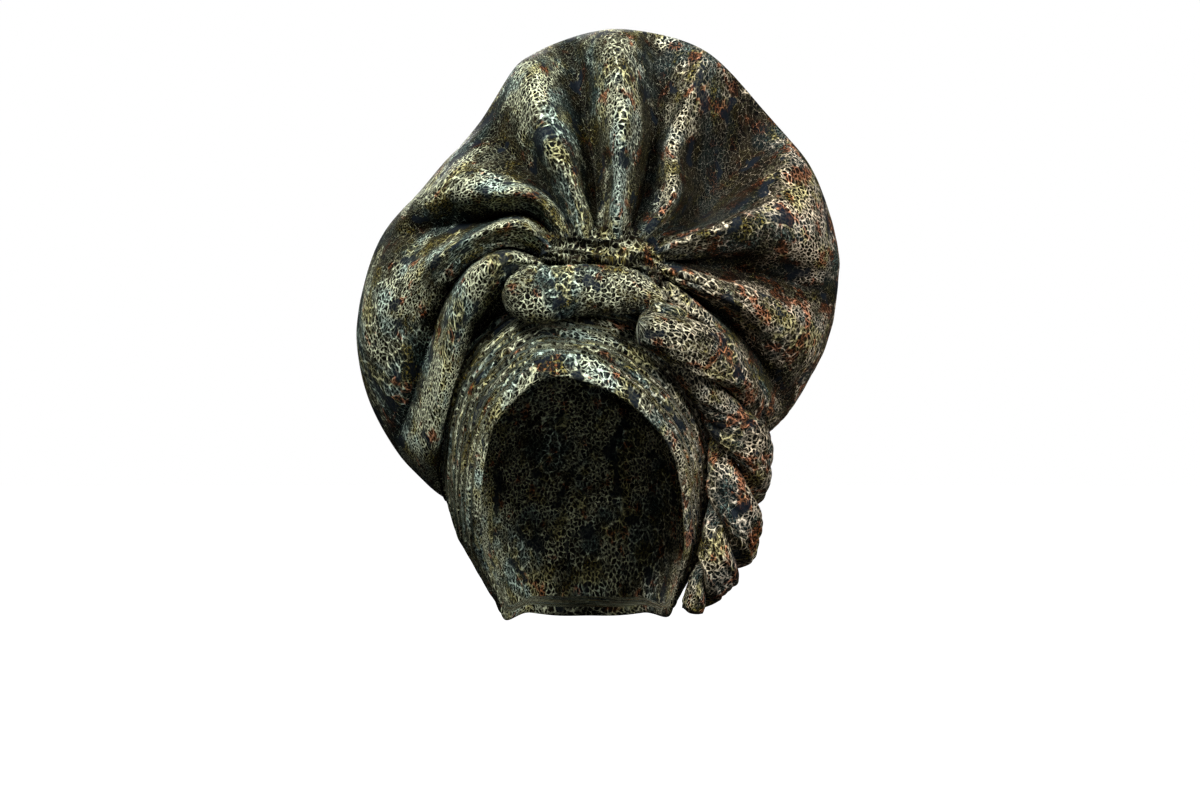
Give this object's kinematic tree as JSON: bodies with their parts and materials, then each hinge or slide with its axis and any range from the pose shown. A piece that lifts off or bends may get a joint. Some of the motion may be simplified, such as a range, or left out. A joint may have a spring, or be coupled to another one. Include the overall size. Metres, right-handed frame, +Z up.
{
  "type": "tied gele head tie",
  "caption": "Tied head tie of stiff patterned cloth: pleated wrap round an open hollow for the head, tall pleated fan, front roll and twisted side rope.",
  "frame": {"origin": "where the top of the head meets the inside of the wrap's crown", "axes": "+Z up, the face looks along -Y, +X to the right as seen from the front"},
  "size_m": [0.305, 0.2038, 0.3722],
  "materials": {
    "patterned_cloth": "stiff woven cloth with a fine mottled pattern and a soft sheen"
  },
  "bodies": {
    "root": {"head_wrap": "patterned_cloth", "fan": "patterned_cloth", "gather_knot": "patterned_cloth", "front_roll": "patterned_cloth", "twist_strand_a": "patterned_cloth", "twist_strand_b": "patterned_cloth"}
  },
  "joints": []
}
